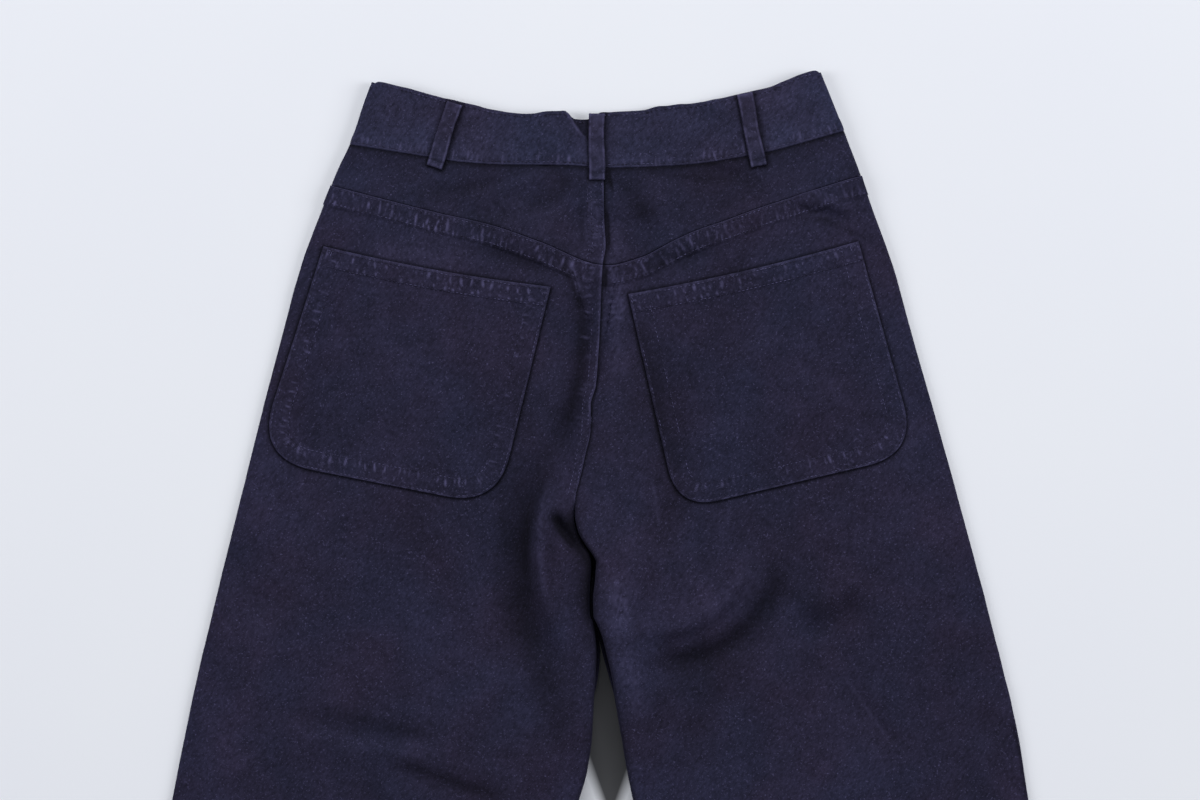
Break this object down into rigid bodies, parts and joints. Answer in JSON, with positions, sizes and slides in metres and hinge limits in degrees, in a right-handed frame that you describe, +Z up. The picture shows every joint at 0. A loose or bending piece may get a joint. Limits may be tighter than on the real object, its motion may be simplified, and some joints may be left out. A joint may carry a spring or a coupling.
{
  "type": "straight-leg trousers",
  "caption": "High-waisted straight-leg trousers in faded navy twill, laid flat with the back up, with a V yoke, patch pockets and belt loops.",
  "frame": {"origin": "Middle of the garment's outline in plan, on the surface it lies on.", "axes": "+Y runs from the hems to the waist, +X to the wearer's right, +Z up out of the seat side."},
  "size_m": [0.864, 1.0876, 0.0136],
  "materials": {
    "leg_twill": "faded matte twill",
    "yoke_twill": "faded matte twill",
    "band_twill": "worn matte twill",
    "pocket_twill": "faded matte twill with worn edges",
    "loop_twill": "worn matte twill",
    "button_metal": "dark burnished"
  },
  "bodies": {
    "root": {"waistband_back": "band_twill", "waistband_front_left": "band_twill", "waistband_front_right": "band_twill", "yoke_left": "yoke_twill", "yoke_right": "yoke_twill", "back_left": "leg_twill", "back_right": "leg_twill", "front_left": "leg_twill", "front_right": "leg_twill", "pocket_left": "pocket_twill", "pocket_right": "pocket_twill", "belt_loop_back_left": "loop_twill", "belt_loop_back_centre": "loop_twill", "belt_loop_back_right": "loop_twill", "belt_loop_front_left": "loop_twill", "belt_loop_front_right": "loop_twill", "waist_button": "button_metal"}
  },
  "joints": []
}
